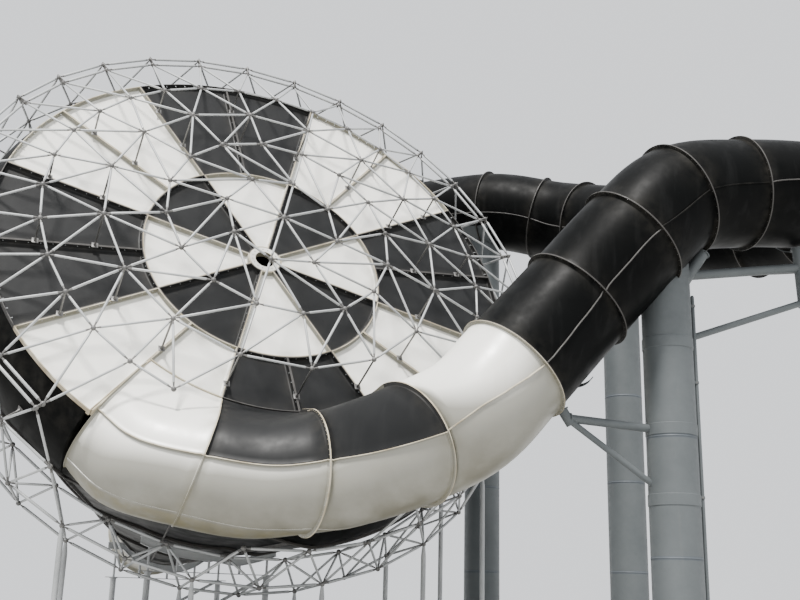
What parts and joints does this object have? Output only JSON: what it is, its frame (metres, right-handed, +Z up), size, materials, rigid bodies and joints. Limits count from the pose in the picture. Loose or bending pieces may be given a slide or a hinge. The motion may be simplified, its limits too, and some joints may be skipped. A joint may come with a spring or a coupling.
{
  "type": "tilted bowl water slide with raft tube",
  "caption": "Tall raft water slide: an enclosed tube on columns winds down into a tilted, roofed bowl held in a tubular space frame, with a funnel and outlet behind.",
  "frame": {"origin": "middle of the footprint's bounding box, on the ground", "axes": "+Z up; -Y is the side that the roof disc faces; +X towards the raft tube's columns"},
  "size_m": [27.5022, 23.3873, 19.915],
  "materials": {
    "white_shell": "gloss gel coat, weathered",
    "black_shell": "gloss gel coat",
    "galvanised_steel": "dull galvanised"
  },
  "bodies": {
    "root": {"roof_inner_1": "black_shell", "roof_inner_2": "white_shell", "roof_inner_3": "black_shell", "roof_inner_4": "white_shell", "roof_inner_5": "black_shell", "roof_inner_6": "white_shell", "roof_inner_7": "black_shell", "roof_inner_8": "white_shell", "roof_hub_ring": "white_shell", "roof_outer_tr": "white_shell", "roof_outer_t": "black_shell", "roof_outer_tl": "white_shell", "roof_outer_l": "black_shell", "roof_outer_bl": "white_shell", "roof_outer_b": "black_shell", "roof_outer_br": "white_shell", "roof_outer_r": "black_shell", "roof_over_trough": "black_shell", "trough_1": "white_shell", "trough_2": "white_shell", "trough_3": "white_shell", "bowl_funnel": "black_shell", "bowl_outlet": "white_shell", "dome_frame": "galvanised_steel", "drum_frame_1": "galvanised_steel", "drum_frame_2": "galvanised_steel", "drum_frame_3": "galvanised_steel", "drum_frame_4": "galvanised_steel", "drum_frame_5": "galvanised_steel", "drum_frame_6": "galvanised_steel", "drum_frame_7": "galvanised_steel", "drum_frame_8": "galvanised_steel", "tube_01": "black_shell", "tube_02": "black_shell", "tube_03": "black_shell", "tube_04": "black_shell", "tube_05": "black_shell", "tube_06": "black_shell", "tube_07": "black_shell", "tube_08": "black_shell", "tube_09": "black_shell", "tube_10": "black_shell", "tube_11": "black_shell", "tube_12": "black_shell", "tube_13": "black_shell", "tube_14": "black_shell", "tube_15": "white_shell", "funnel_trestle_1": "galvanised_steel", "funnel_trestle_2": "galvanised_steel", "column_1": "galvanised_steel", "column_2": "galvanised_steel", "column_3": "galvanised_steel"}
  },
  "joints": []
}
